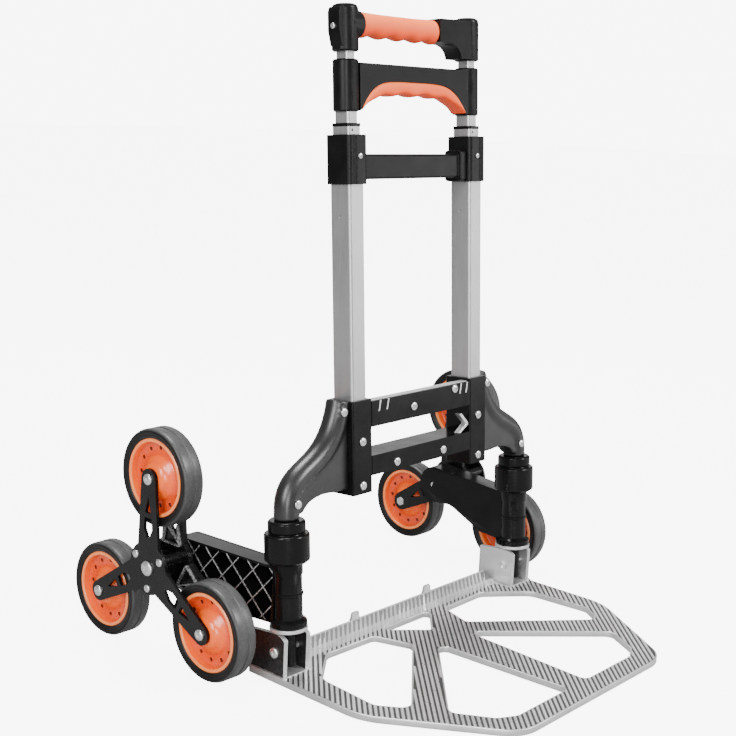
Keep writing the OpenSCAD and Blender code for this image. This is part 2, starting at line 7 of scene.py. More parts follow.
# %% Load the frame
import math
import bpy
import bmesh
from mathutils import Matrix, Vector
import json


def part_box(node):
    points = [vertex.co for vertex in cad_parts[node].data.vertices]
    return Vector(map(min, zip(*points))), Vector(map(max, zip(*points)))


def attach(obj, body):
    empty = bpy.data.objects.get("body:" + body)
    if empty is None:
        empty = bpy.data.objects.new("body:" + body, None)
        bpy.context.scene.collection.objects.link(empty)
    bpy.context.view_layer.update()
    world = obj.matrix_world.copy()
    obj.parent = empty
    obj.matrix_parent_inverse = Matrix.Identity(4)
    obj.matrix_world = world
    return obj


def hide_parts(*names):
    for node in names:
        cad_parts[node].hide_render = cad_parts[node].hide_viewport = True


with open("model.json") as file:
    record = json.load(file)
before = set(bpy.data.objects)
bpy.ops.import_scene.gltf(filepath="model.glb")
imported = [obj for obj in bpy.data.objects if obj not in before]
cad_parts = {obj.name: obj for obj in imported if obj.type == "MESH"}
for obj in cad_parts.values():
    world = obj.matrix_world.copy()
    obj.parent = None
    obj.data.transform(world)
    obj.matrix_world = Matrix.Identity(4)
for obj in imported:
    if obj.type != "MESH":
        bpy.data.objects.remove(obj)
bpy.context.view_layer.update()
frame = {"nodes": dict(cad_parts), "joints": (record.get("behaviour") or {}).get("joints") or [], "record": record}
MM = 0.001

# %% [markdown]
# The tubes of a hand truck lean back when its plate lies on the floor. The slide joints point along the
# tubes, so their axis gives the lean, and the hinge of the toe plate tells where the posts stand. LEANED
# carries a point from "frame on the drawing board" (Z along the tubes) to the floor's frame; LEVEL only
# shifts it. UPRIGHT stands a flat drawing on its edge.

# %% Two reference frames
joint = {j["name"]: j for j in frame["joints"]}
slide_axis = Vector(joint["lower_slide"]["axis"])
lean = math.atan2(slide_axis.y, slide_axis.z)
HINGE_Y = 4.5 * MM
row_y = joint["toe_fold"]["pos_m"][1] - HINGE_Y
LEVEL = Matrix.Translation((0, row_y, 0))
LEANED = LEVEL @ Matrix.Rotation(-lean, 4, "X")
TUBE_X = 107.5 * MM
POST_X = 211.8 * MM
WHEEL_X = 275 * MM
SIDES = (("left", -1), ("right", 1))
UPRIGHT = Matrix.Rotation(math.radians(90), 4, "X")
print("lean", round(math.degrees(lean), 2), "row_y", round(row_y, 4))

# %% [markdown]
# Shader maths reads best as ordinary expressions. This small class wraps one socket; adding or
# multiplying two wires adds a Math node, and a plain number is written on that node's socket. Colours go
# through Mix nodes.

# %% Shader expressions


class Wire:
    """One output socket of a shader tree, with arithmetic."""

    def __init__(self, paint, socket):
        self.paint = paint
        self.socket = socket

    def math(self, operation, *others):
        return self.paint.node("Math", {"operation": operation}, dict(enumerate([self, *others])))

    def __add__(self, other):
        return self.math("ADD", other)

    def __mul__(self, other):
        return self.math("MULTIPLY", other)

    __radd__ = __add__
    __rmul__ = __mul__


class Paint:
    """A material under construction: constants go in at the start, and set() plugs wires into the shader."""

    def __init__(self, name, **constants):
        self.material = bpy.data.materials.new(name)
        self.material.use_nodes = True
        self.tree = self.material.node_tree
        self.shader = self.tree.nodes["Principled BSDF"]
        for socket, value in constants.items():
            self.shader.inputs[socket.replace("_", " ")].default_value = value

    def node(self, kind, settings=None, inputs=None, output=0):
        node = self.tree.nodes.new("ShaderNode" + kind)
        for key, value in (settings or {}).items():
            setattr(node, key, value)
        for key, value in (inputs or {}).items():
            if isinstance(value, Wire):
                self.tree.links.new(value.socket, node.inputs[key])
            else:
                node.inputs[key].default_value = value
        return Wire(self, node.outputs[output])

    def place(self, scale=(1, 1, 1)):
        """Object coordinates in millimetres times scale."""
        coords = self.node("TexCoord", output=3)
        return self.node("Mapping", {}, {"Vector": coords, "Scale": [1000 * s for s in scale]})

    def noise(self, size, detail=2, stretch=(1, 1, 1), rough=0.5):
        """Noise whose features are about size millimetres, from 0 to 1."""
        vector = self.place([s / size for s in stretch])
        return self.node("TexNoise", {}, {"Vector": vector, "Scale": 1, "Detail": detail, "Roughness": rough})

    def axis(self, index):
        """One object coordinate in millimetres."""
        return self.node("SeparateXYZ", {}, {0: self.place()}, output=index)

    def facing(self, index):
        """One component of the surface direction, from -1 to 1."""
        return self.node("SeparateXYZ", {}, {0: self.node("TexCoord", output=1)}, output=index)

    def ramp(self, value, low=0.3, high=0.7, out=(0, 1)):
        """Spreads low to high over the range out; a noise mostly stays between 0.3 and 0.7."""
        return self.node("MapRange", {"clamp": True}, {0: value, 1: low, 2: high, 3: out[0], 4: out[1]})

    def blend(self, factor, a, b):
        """Mix of two colours, each a wire or four numbers."""
        return self.node("Mix", {"data_type": "RGBA"}, {0: factor, 6: a, 7: b}, output=2)

    def bump(self, height, distance, strength=1.0):
        """Surface direction over waves that are distance millimetres high."""
        return self.node("Bump", {}, {"Height": height, "Distance": distance * MM, "Strength": strength})

    def set(self, **links):
        for socket, wire in links.items():
            self.tree.links.new(wire.socket, self.shader.inputs[socket.replace("_", " ")])
        return self.material


def grey(value, warm=0.0):
    return (value * (1 + warm), value, value * (1 - warm), 1)


# %% [markdown]
# ## Metals
# Extruded aluminium shows fine die lines along the bar and a soft satin gloss. The noise is stretched far
# along Z, so it turns into streaks, and the same streaks drive both gloss and a very shallow bump. Cast
# metal has a grainy skin instead, bright on the ridges of the tread. The grooves between them are dull, and
# their much darker grey is painted shade.

# %% Aluminium, cast and extruded


def tube_aluminium():
    p = Paint("extruded aluminium", Metallic=0.85)
    streak = p.noise(0.35, 3, stretch=(1, 1, 0.006))
    cloud = p.noise(60, 2)
    tone = p.ramp(cloud, out=(0.0, 0.6))
    color = p.blend(tone, grey(0.42), grey(0.50))
    color = p.blend(p.ramp(streak, 0.35, 0.65, (0, 0.35)), color, grey(0.60))
    rough = p.ramp(streak, out=(0.30, 0.44))
    return p.set(Base_Color=color, Roughness=rough, Normal=p.bump(streak, 0.02))


def cast_aluminium(name="cast aluminium", base=0.62, rough=(0.34, 0.5)):
    p = Paint(name, Metallic=0.8)
    skin = p.noise(0.9, 4, rough=0.6)
    cloud = p.noise(38, 3)
    color = p.blend(p.ramp(cloud), grey(base * 0.9), grey(base * 1.08))
    gloss = p.ramp(p.noise(5, 3), out=rough)
    return p.set(Base_Color=color, Roughness=gloss, Normal=p.bump(skin, 0.05, 0.5))


def bracket_aluminium():
    """Cast aluminium with painted shade where it faces left, towards the wheels: a near-black grey."""
    p = Paint("bracket aluminium", Metallic=0.8)
    cloud = p.noise(30, 3)
    color = p.blend(p.ramp(cloud), grey(0.56), grey(0.68))
    painted_shade = p.blend(p.ramp(p.noise(4, 3)), grey(0.03), grey(0.06))
    # painted shade: faces that point left take the near-black grey
    color = p.blend(p.ramp(p.facing(0), -0.95, -0.8, (1, 0)), color, painted_shade)
    rough = p.ramp(p.noise(5, 3), out=(0.34, 0.5))
    return p.set(Base_Color=color, Roughness=rough, Normal=p.bump(p.noise(0.9, 4, rough=0.6), 0.05, 0.5))


def zinc_steel():
    p = Paint("zinc plated steel", Metallic=0.9)
    grain = p.noise(0.5, 3)
    cloud = p.noise(6, 2)
    color = p.blend(p.ramp(cloud), grey(0.62, 0.01), grey(0.80, -0.01))
    rough = p.ramp(grain, out=(0.2, 0.36))
    return p.set(Base_Color=color, Roughness=rough, Normal=p.bump(grain, 0.01, 0.4))


ALU = tube_aluminium()
CAST = cast_aluminium()
TREAD = cast_aluminium("polished tread", 0.92, (0.26, 0.38))
# the groove colour is painted shade
GROOVE_SHADE = cast_aluminium("groove with painted shade", 0.07, (0.5, 0.62))
SHADED = cast_aluminium("shaded groove", 0.2, (0.5, 0.62))
BRACKET_SHADE = bracket_aluminium()
ZINC = zinc_steel()
print("metals ready")

# %% [markdown]
# ## Black finishes
# Moulded nylon has a fine spark-eroded grain, glossy on the beams and satin on the clamp and the handles.
# Painted steel has slow orange-peel waves, and the arched side tubes carry a dark metallic paint with
# flakes. All are nearly black, so the gloss and grain do the work. Only the edges of ribs are paler: a
# painted highlight.

# %% Plastic and paint


def black_plastic(name="moulded black nylon", gloss=(0.16, 0.25), shine=0.15):
    p = Paint(name, Specular_IOR_Level=shine)
    grain = p.noise(0.45, 2)
    cloud = p.noise(25, 2)
    color = p.blend(p.ramp(cloud), grey(0.0025), grey(0.005))
    rough = p.ramp(cloud, out=gloss)
    return p.set(Base_Color=color, Roughness=rough, Normal=p.bump(grain, 0.02, 0.2))


def black_paint():
    p = Paint("black powder coat", Specular_IOR_Level=0.25)
    peel = p.noise(1.6, 2)
    cloud = p.noise(18, 2)
    color = p.blend(p.ramp(cloud), grey(0.003), grey(0.006))
    rough = p.ramp(p.noise(3, 2), out=(0.2, 0.3))
    return p.set(Base_Color=color, Roughness=rough, Normal=p.bump(peel, 0.05, 0.5))


def gunmetal():
    p = Paint("dark metallic paint", Metallic=0.7, Coat_Roughness=0.32, Coat_Weight=0.5)
    flake = p.node("TexVoronoi", {}, {"Vector": p.place((2.5, 2.5, 2.5)), "Scale": 1}, output=1)
    flake_grey = p.node("RGBToBW", {}, {0: flake})
    cloud = p.noise(30, 2)
    color = p.blend(p.ramp(cloud), grey(0.018), grey(0.03))
    color = p.blend(p.ramp(flake_grey, 0.55, 0.9, (0, 0.35)), color, grey(0.06))
    rough = p.ramp(flake_grey, 0.2, 0.9, (0.33, 0.43))
    return p.set(Base_Color=color, Roughness=rough, Normal=p.bump(p.noise(1.2, 2), 0.03, 0.4))


def rib_highlight_nylon():
    p = Paint("rib edges with painted highlight", Specular_IOR_Level=0.5)
    mark = p.noise(2.2, 3)
    # painted highlight: the rib edges get a paler grey, spread by noise
    color = p.blend(p.ramp(mark, 0.35, 0.6), grey(0.05), grey(0.30))
    rough = p.ramp(mark, out=(0.22, 0.34))
    return p.set(Base_Color=color, Roughness=rough, Normal=p.bump(p.noise(0.45, 2), 0.02, 0.2))


NYLON = black_plastic()
SATIN = black_plastic("satin black nylon", (0.30, 0.40), 0.17)
RIB_HIGHLIGHT = rib_highlight_nylon()
PAINT = black_paint()
GUN = gunmetal()
print("black finishes ready")

# %% [markdown]
# ## Orange plastic, grip rubber and tyre rubber
# The wheel centres are glossy; deep in the dish a darker, redder orange is painted shade, and the bottoms
# of its holes are painted nearly black as shade. The grips are soft-touch rubber, matt, with painted shade
# underneath: a darker, redder orange on faces that point down. The tyres have a scuffed tread; its lighter
# grey is partly wear and partly a painted sheen.

# %% Orange and rubber


def orange_plastic(name="glossy orange plastic", low=(0.94, 0.105, 0.002, 1), high=(1.0, 0.15, 0.005, 1)):
    p = Paint(name, Specular_IOR_Level=0.5, Coat_Weight=0.3, Coat_Roughness=0.12)
    cloud = p.noise(14, 3)
    color = p.blend(p.ramp(cloud), low, high)
    # painted shade: near the middle plane, deep in the dish, the orange turns darker and redder, and the hole
    # bottoms nearly black
    depth = p.axis(2).math("ABSOLUTE")
    color = p.blend(p.ramp(depth, 2.4, 6.5, (0.75, 0)), color, (0.62, 0.035, 0.001, 1))
    color = p.blend(p.ramp(depth, 1.6, 2.4, (0.92, 0)), color, (0.03, 0.004, 0.001, 1))
    rough = p.ramp(p.noise(2.5, 3), out=(0.24, 0.34))
    return p.set(Base_Color=color, Roughness=rough, Normal=p.bump(p.noise(0.8, 2), 0.02, 0.4))


def grip_rubber():
    p = Paint("soft grip rubber", Specular_IOR_Level=0.35)
    grain = p.noise(0.5, 3, rough=0.6)
    cloud = p.noise(22, 3)
    color = p.blend(p.ramp(cloud), (0.93, 0.145, 0.025, 1), (0.97, 0.19, 0.04, 1))
    # painted shade: faces that point down get a darker, redder orange
    color = p.blend(p.ramp(p.facing(2), -0.6, 0.6, (0.9, 0)), color, (0.82, 0.055, 0.002, 1))
    rough = p.ramp(grain, out=(0.48, 0.62))
    return p.set(Base_Color=color, Roughness=rough, Normal=p.bump(grain, 0.05, 0.6))


def tyre_rubber():
    p = Paint("tyre rubber", Specular_IOR_Level=0.3)
    scuff = p.noise(1.3, 4, rough=0.65)
    cloud = p.noise(16, 3)
    x, y = p.axis(0), p.axis(1)
    # the tread is a lighter grey than the sidewalls: partly wear, partly painted sheen
    wear_and_sheen = p.ramp((x * x + y * y).math("SQRT"), 53.2, 54.8)
    color = p.blend(p.ramp(cloud), grey(0.003), grey(0.006))
    color = p.blend(wear_and_sheen, color, p.blend(p.ramp(scuff, 0.4, 0.7), grey(0.038), grey(0.07)))
    rough = p.ramp(scuff, out=(0.30, 0.44))
    return p.set(Base_Color=color, Roughness=rough, Normal=p.bump(scuff, 0.05, 0.5))


ORANGE = orange_plastic()
ORANGE_LIP = orange_plastic("pale orange lip", (1.0, 0.21, 0.045, 1), (1.0, 0.28, 0.07, 1))
GRIP = grip_rubber()
TYRE = tyre_rubber()
print("orange and rubber ready")

# %% [markdown]
# ## Mesh helpers
# Most pieces are one of four things: a lathe-turned ring, a loft through cross-sections, a plate with
# windows, or a CAD solid that only needs its sharp edges broken. One helper makes each.

# %% Make an object from vertices and faces


def linked(name, data):
    """A new object, put into the scene."""
    obj = bpy.data.objects.new(name, data)
    bpy.context.scene.collection.objects.link(obj)
    return obj


def solid(name, verts, faces, material, smooth=35):
    mesh = bpy.data.meshes.new(name)
    mesh.from_pydata([tuple(v) for v in verts], [], faces)
    bm = bmesh.new()
    bm.from_mesh(mesh)
    bmesh.ops.remove_doubles(bm, verts=bm.verts, dist=1e-6)
    bmesh.ops.recalc_face_normals(bm, faces=bm.faces)
    bm.to_mesh(mesh)
    bm.free()
    mesh.materials.append(material)
    mesh.shade_smooth()
    mesh.set_sharp_from_angle(angle=math.radians(smooth))
    return linked(name, mesh)


def apply_modifiers(obj):
    """Bakes the modifiers into a new smooth mesh."""
    bpy.context.view_layer.update()
    graph = bpy.context.evaluated_depsgraph_get()
    mesh = bpy.data.meshes.new_from_object(obj.evaluated_get(graph))
    obj.modifiers.clear()
    obj.data = mesh
    mesh.shade_smooth()


def settle(obj, body, slot, *nodes, at=None):
    """Goes to its place, rides on a body and stands for the CAD nodes named; the slot is not used."""
    if at is not None:
        obj.matrix_world = at
    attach(obj, body)
    if nodes:
        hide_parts(*nodes)


# %% Lathe and loft
BOX = [(0, 1, 3, 2), (4, 6, 7, 5), (0, 4, 5, 1), (2, 3, 7, 6), (1, 5, 7, 3), (0, 2, 6, 4)]


def lathe(name, profile, material, steps=64, smooth=35):
    """Turns (radius, height) points in millimetres round Z. A closed profile makes a ring."""
    verts = []
    for k in range(steps):
        a = 2 * math.pi * k / steps
        verts += [(r * MM * math.cos(a), r * MM * math.sin(a), h * MM) for r, h in profile]
    n = len(profile)
    faces = []
    for k in range(steps):
        for i in range(n):
            j = (i + 1) % n
            m = (k + 1) % steps
            faces.append((k * n + i, k * n + j, m * n + j, m * n + i))
    return solid(name, verts, faces, material, smooth)


def loft(name, rings, material, smooth=40):
    """Skins closed rings of equal length and caps both ends."""
    n = len(rings[0])
    verts = [v for ring in rings for v in ring]
    faces = []
    for i in range(len(rings) - 1):
        for k in range(n):
            m = (k + 1) % n
            faces.append((i * n + k, i * n + m, (i + 1) * n + m, (i + 1) * n + k))
    faces.append(tuple(range(n)))
    faces.append(tuple(range(len(verts) - 1, len(verts) - n - 1, -1)))
    return solid(name, verts, faces, material, smooth)


# %% Plate with windows


def plate(name, outline, windows, z0, z1, material, bevel=0.0):
    """Flat plate from outlines in millimetres, between two heights, with its edges broken."""
    curve = bpy.data.curves.new(name, "CURVE")
    curve.dimensions = "2D"
    curve.fill_mode = "BOTH"
    curve.extrude = (z1 - z0) / 2 * MM - bevel * MM
    curve.bevel_depth = bevel * MM
    curve.bevel_resolution = 2
    curve.offset = -bevel * MM
    for loop in [outline, *windows]:
        spline = curve.splines.new("POLY")
        spline.points.add(len(loop) - 1)
        for point, (x, y) in zip(spline.points, loop):
            point.co = (x * MM, y * MM, 0, 1)
        spline.use_cyclic_u = True
    holder = linked(name, curve)
    bpy.context.view_layer.update()
    mesh = bpy.data.meshes.new_from_object(holder)
    bpy.data.objects.remove(holder)
    mesh.transform(Matrix.Translation((0, 0, (z0 + z1) / 2 * MM)))
    mesh.materials.clear()
    mesh.materials.append(material)
    mesh.shade_smooth()
    mesh.set_sharp_from_angle(angle=math.radians(30))
    return linked(name, mesh)


# %% [markdown]
# A moulded or machined part never has knife edges; the light that its small radii catch is most of what
# makes it look real. `soften` copies a CAD solid, welds its triangles into clean faces and bevels every
# sharp edge.

# %% Break the edges of a CAD solid


def soften(node, material, width):
    bm = bmesh.new()
    bm.from_mesh(frame["nodes"][node].data)
    bmesh.ops.remove_doubles(bm, verts=bm.verts, dist=1e-6)
    bmesh.ops.dissolve_limit(bm, angle_limit=math.radians(0.6), verts=bm.verts, edges=bm.edges)
    mesh = bpy.data.meshes.new(node + ".finished")
    bm.to_mesh(mesh)
    bm.free()
    mesh.materials.clear()
    mesh.materials.append(material)
    obj = linked(node + ".finished", mesh)
    bevel = obj.modifiers.new("edges", "BEVEL")
    bevel.width = width * MM
    bevel.segments = 2
    bevel.limit_method = "ANGLE"
    bevel.angle_limit = math.radians(30)
    bevel.use_clamp_overlap = True
    for polygon in mesh.polygons:
        polygon.use_smooth = True
    weighted = obj.modifiers.new("shading", "WEIGHTED_NORMAL")
    weighted.keep_sharp = True
    settle(obj, body_of[node], slot_of[node], node)


body_of = {n: b for b, members in frame["record"]["behaviour"]["bodies"].items() for n in members}
slot_of = {s["node"]: s["material_slot"] for s in frame["record"]["subparts"]}

# %% [markdown]
# ## Which parts only need their edges broken
# The tubes, clamps, beams, posts, handles, foot brackets and star plates keep their CAD shape. The list
# gives each its finish and the width of its bevels in millimetres. A name that starts with an underscore
# is there twice, once on each side.

# %% Finish the plain parts
plain = {
    "_main_tube": (ALU, 0.3), "_lower_tube": (ALU, 0.25), "middle_tubes": (ALU, 0.2), "top_tubes": (ALU, 0.2),
    "_clamp_collar": (SATIN, 1.3), "clamp_bridge": (SATIN, 1.6), "_socket": (NYLON, 1.0),
    "upper_beam": (NYLON, 0.8), "beam_backing": (CAST, 0.5), "lower_beam": (NYLON, 1.2),
    "_post": (NYLON, 0.6), "_post_collar": (NYLON, 1.5), "foot_washers": (CAST, 0.5),
    "_tube_ring": (NYLON, 0.4), "stay_clip": (ZINC, 0.5), "lower_handle": (SATIN, 2.8),
    "upper_handle": (SATIN, 2.2), "release_button": (ZINC, 1.4), "left_foot_bracket": (BRACKET_SHADE, 0.7),
    "right_foot_bracket": (CAST, 0.7), "_star_outer_plate": (PAINT, 0.9),
    "_star_inner_plate": (PAINT, 0.8), "_star_hub": (PAINT, 0.6),
}
softened = 0
for name, (material, width) in plain.items():
    for node in [side + name for side, flip in SIDES] if name.startswith("_") else [name]:
        soften(node, material, width)
        softened += 1
print("plain parts", softened)

# %% [markdown]
# ## Wheels
# A wheel is turned pieces. The orange centre has a raised pale lip, a deep dish with a ring of small
# blind holes and a domed hub; the tyre has a rounded shoulder and one groove round the middle. One set
# serves all six.

# %% Wheel profiles


def arc(cx, cy, r, a0, a1, n):
    """Points on an arc, angles in degrees."""
    return [(cx + r * math.cos(math.radians(a0 + (a1 - a0) * i / n)),
             cy + r * math.sin(math.radians(a0 + (a1 - a0) * i / n))) for i in range(n + 1)]


def both_sides(half):
    """A profile that is the same on both sides of the wheel, closed on itself."""
    return half + [(r, -h) for r, h in reversed(half)]


TYRE_R, TYRE_H, SEAT_R = 56, 14, 45
tyre_half = [(SEAT_R + 0.05, 11.8), (SEAT_R + 0.9, 12.6), (SEAT_R + 3.5, 13.3)]
tyre_half += [(SEAT_R + 4.2, 13.0), (SEAT_R + 4.9, 13.4)]
tyre_half += arc(TYRE_R - 4.5, TYRE_H - 4.6, 4.5, 88, 8, 8)
tyre_half += [(TYRE_R - 0.02, 4.2), (TYRE_R - 0.1, 2.0), (TYRE_R - 1.0, 1.2)]
rim_half = [(4.6, 15.0), (5.4, 15.4), (9.5, 15.4)] + arc(9.5, 4.4, 11.0, 84, 30, 8)
rim_half += [(21.5, 7.6), (24.5, 5.6), (26.0, 3.4), (27.2, 2.6)]
rim_half += [(38.2, 2.6), (39.6, 3.4), (40.1, 5.0), (40.4, 10.8), (44.9, 9.6)]
lip_half = [(40.45, 9.6), (40.6, 11.3), (41.3, 12.2), (43.8, 12.3), (44.7, 11.6), (44.95, 9.6)]


def turned_wheel():
    centre = lathe("wheel_centre", both_sides(rim_half), ORANGE, 96)
    tyre = lathe("wheel_tyre", both_sides(tyre_half), TYRE, 96)
    lips = []
    for side in (1, -1):
        lips.append(lathe("wheel_lip", [(r, side * h) for r, h in lip_half], ORANGE_LIP, 96))
    return centre, tyre, lips


def bore_holes(obj, count, radius, ring, web=1.2, depth=20):
    """Blind holes in both faces of the dish, cut with one comb of pins; a thin web stays between them."""
    pins = bmesh.new()
    for k in range(2 * count):
        a = math.pi * (k - k % 2) / count
        z = (web + depth / 2) * (1 if k % 2 else -1)
        spot = Matrix.Translation((ring * MM * math.cos(a), ring * MM * math.sin(a), z * MM))
        bmesh.ops.create_cone(pins, cap_ends=True, segments=16, radius1=radius * MM, radius2=radius * MM,
                              depth=depth * MM, matrix=spot)
    mesh = bpy.data.meshes.new("pins")
    pins.to_mesh(mesh)
    pins.free()
    cutter = linked("pins", mesh)
    cut = obj.modifiers.new("holes", "BOOLEAN")
    cut.object = cutter
    cut.solver = "EXACT"
    apply_modifiers(obj)
    obj.data.set_sharp_from_angle(angle=math.radians(35))
    bpy.data.objects.remove(cutter)


# %% Place six wheels
centre, tyre, lips = turned_wheel()
bore_holes(centre, 12, 2.5, 33.5)
on_axle = Matrix.Rotation(math.radians(90), 4, "Y")
wheel_pieces = (
    (centre, "centre", "orange_plastic", ["_rim"]),
    (tyre, "tyre", "tyre_rubber", ["_tyre"]),
    (lips[0], "lip_a", "orange_plastic", []),
    (lips[1], "lip_b", "orange_plastic", []),
)
for side, flip in SIDES:
    for spot in ("top", "front", "back"):
        name = f"{side}_{spot}"
        hub = Vector(joint[name + "_spin"]["pos_m"])
        there = Matrix.Translation(hub) @ on_axle
        for source, label, slot, nodes in wheel_pieces:
            piece = linked(f"{name}_{label}", source.data)
            settle(piece, name + "_wheel", slot, *(name + node for node in nodes), at=there)
for source in (centre, tyre, *lips):
    bpy.data.objects.remove(source)
print("wheels placed")

# %% [markdown]
# ## Toe plate
# The plate is an aluminium casting with five windows. Its tread is a field of fine ridges at 45 degrees.
# Drawing them as geometry takes some care: each ridge is a strip, cut where it leaves the metal, so the
# strips are found by walking a slanted line across the outline and keeping the stretches that are inside.

# %% Outline and windows, as on the drawing


def corner_arc(a, b, c, r, n=7):
    """Points that round the corner b between a and c."""
    a, b, c = Vector(a), Vector(b), Vector(c)
    u, v = (a - b).normalized(), (c - b).normalized()
    half = u.angle(v) / 2
    m = b + (u + v).normalized() * r / math.sin(half)
    p, q = b + u * r / math.tan(half), b + v * r / math.tan(half)
    a0 = math.atan2(p.y - m.y, p.x - m.x)
    a1 = math.atan2(q.y - m.y, q.x - m.x)
    turn = (a1 - a0 + math.pi) % (2 * math.pi) - math.pi
    angles = [a0 + turn * i / n for i in range(n + 1)]
    return [(m.x + r * math.cos(a), m.y + r * math.sin(a)) for a in angles]


def rounded(points, radii):
    n = len(points)
    out = []
    for i in range(n):
        out += corner_arc(points[i - 1], points[i], points[(i + 1) % n], radii[i % len(radii)])
    return out


def mirrored(points):
    return [(-x, y) for x, y in reversed(points)]


def pushed(loop, distance):
    """The loop moved sideways by a distance, to leave a plain margin along an edge."""
    n = len(loop)
    out = []
    for i in range(n):
        a, b, c = Vector(loop[i - 1]), Vector(loop[i]), Vector(loop[(i + 1) % n])
        d = c - a
        if d.length < 1e-9:
            continue
        d.normalize()
        out.append((b.x + d.y * distance, b.y - d.x * distance))
    return out


def signed_area(loop):
    return sum(a[0] * b[1] - b[0] * a[1] for a, b in zip(loop, loop[1:] + loop[:1])) / 2


def inset(loop, distance):
    return pushed(loop, -distance if signed_area(loop) > 0 else distance)


TOE_T = 8.0
TOE_X, TOE_FRONT, TOE_BACK = 235, 268, 36
FOOT_X, FOOT_FRONT, FOOT_BACK = 188, -12, 44
half_edge = [(TOE_X, FOOT_BACK), (TOE_X, -127), (140, -TOE_FRONT)]
back_edge = [(-FOOT_X, FOOT_BACK), (-FOOT_X, TOE_BACK), (FOOT_X, TOE_BACK), (FOOT_X, FOOT_BACK)]
toe_points = half_edge + mirrored(half_edge) + back_edge
toe_radii = [3, 75, 45, 45, 75, 3, 3, 3, 3, 3]
side_window = [(68, 3), (146, 5), (199, -38), (205, -120), (182, -152), (52, -44)]
front_window = [(28, -64), (160, -186), (134, -228), (112, -240), (18, -240)]
back_window = [(-47, 11), (47, 11), (0, -31)]
toe_outline = rounded(toe_points, toe_radii)
toe_windows = [rounded(side_window, [8, 16, 24, 16, 12, 8]), rounded(front_window, [8, 10, 12, 8, 8])]
toe_windows += [mirrored(w) for w in toe_windows] + [rounded(back_window, [5])]
body = plate("toe_plate_casting", inset(toe_outline, 0.2), toe_windows, 0, TOE_T - 0.7, CAST, 0.9)
settle(body, "toe", "cast_aluminium", "toe_plate", at=LEVEL)
print("toe plate casting", len(body.data.polygons), "faces")

# %% Pads under the foot brackets
for side, flip in SIDES:
    near, far = flip * (FOOT_X + 0.2), flip * (TOE_X - 0.3)
    front, back = FOOT_FRONT + 0.2, FOOT_BACK - 0.2
    foot_edge = [(near, front), (far, front), (far, back), (near, back)][::flip]
    foot = plate("toe_plate_foot", foot_edge, [], TOE_T - 1, TOE_T + 1, CAST, 0.4)
    settle(foot, "toe", "cast_aluminium", at=LEVEL)
print("foot pads ready")

# %% Tread ridges
LIP_Y, LIP_H, LIP_X = 12, 12, 189
TREAD_PITCH, TREAD_WIDTH, TREAD_RISE, TREAD_MARGIN = 5.6, 3.3, 0.7, 2.2
TREAD_FOOT, CHAMFER = TOE_T - 0.75, 0.22
MOST_SKEW, SHORTEST = 14, 3
FIRST_RIDGE, LAST_RIDGE = -560.0, 360


def stretches(loops, offset, slope=1.0):
    """Where the line y = slope * x + offset is inside the loops, as sorted pairs of x."""
    cuts = []
    for loop in loops:
        for (x1, y1), (x2, y2) in zip(loop, loop[1:] + loop[:1]):
            d1, d2 = y1 - slope * x1 - offset, y2 - slope * x2 - offset
            if (d1 > 0) != (d2 > 0):
                cuts.append(x1 + (x2 - x1) * d1 / (d1 - d2))
    cuts.sort()
    return list(zip(cuts[::2], cuts[1::2]))


def tread_floor(x, y):
    """Height of the plate under a ridge: flat, then rising up the back edge."""
    if abs(x) > LIP_X or y < LIP_Y:
        return TREAD_FOOT
    return TREAD_FOOT + min(1, (y - LIP_Y) / (TOE_BACK - 3 - LIP_Y)) * (LIP_H - 0.05)


def strip(verts, faces, x0, x1, x2, x3, offset, width):
    """One ridge between two lines; its ends follow the outline."""
    count = max(1, int(abs(x1 - x0) / 12))
    start = len(verts)
    for i in range(count + 1):
        t = i / count
        xa, xb = x0 + (x1 - x0) * t, x2 + (x3 - x2) * t
        ya, yb = xa + offset, xb + offset + width
        za, zb = tread_floor(xa, ya), tread_floor(xb, yb)
        for s, z in ((0, 0), (CHAMFER, TREAD_RISE), (1 - CHAMFER, TREAD_RISE), (1, 0)):
            point = (xa + (xb - xa) * s, ya + (yb - ya) * s, za + (zb - za) * s + z)
            verts.append([c * MM for c in point])
    for i in range(count):
        b = start + 4 * i
        for k in range(4):
            m = (k + 1) % 4
            faces.append((b + k, b + m, b + 4 + m, b + 4 + k))
    faces.append((start, start + 1, start + 2, start + 3))
    faces.append(tuple(start + 4 * count + k for k in (3, 2, 1, 0)))


def shrunk_plate(margin):
    """The outline and the windows with a margin of metal left along each."""
    return [inset(toe_outline, margin)] + [inset(w, -margin) for w in toe_windows]


def similar(low, high):
    """True when both long edges of a ridge leave the metal at nearly the same places."""
    if len(low) != len(high):
        return False
    return all(abs(p[i] - q[i]) < MOST_SKEW for p, q in zip(low, high) for i in (0, 1))


field, narrow_field = shrunk_plate(TREAD_MARGIN), shrunk_plate(TREAD_MARGIN + 0.4)
step = TREAD_PITCH * math.sqrt(2)
width = TREAD_WIDTH * math.sqrt(2)
verts, faces = [], []
offset = FIRST_RIDGE
while offset < LAST_RIDGE:
    low, high = stretches(field, offset), stretches(field, offset + width)
    if not similar(low, high):
        low = high = stretches(narrow_field, offset + width / 2)
    for (x0, x1), (x2, x3) in zip(low, high):
        if x1 - x0 > SHORTEST and x3 - x2 > SHORTEST:
            strip(verts, faces, x0, x1, x2, x3, offset, width)
    offset += step
# painted shade: a thin dark sheet just under the ridges darkens the grooves
groove_edge, *groove_windows = shrunk_plate(1.9)
groove = plate("toe_plate_groove_shade", groove_edge, groove_windows, TOE_T - 0.9, TOE_T - 0.66, GROOVE_SHADE)
settle(groove, "toe", "cast_aluminium", at=LEVEL)
tread = solid("toe_plate_tread", verts, faces, TREAD, 25)
settle(tread, "toe", "cast_aluminium", at=LEVEL)
print("tread faces", len(faces))

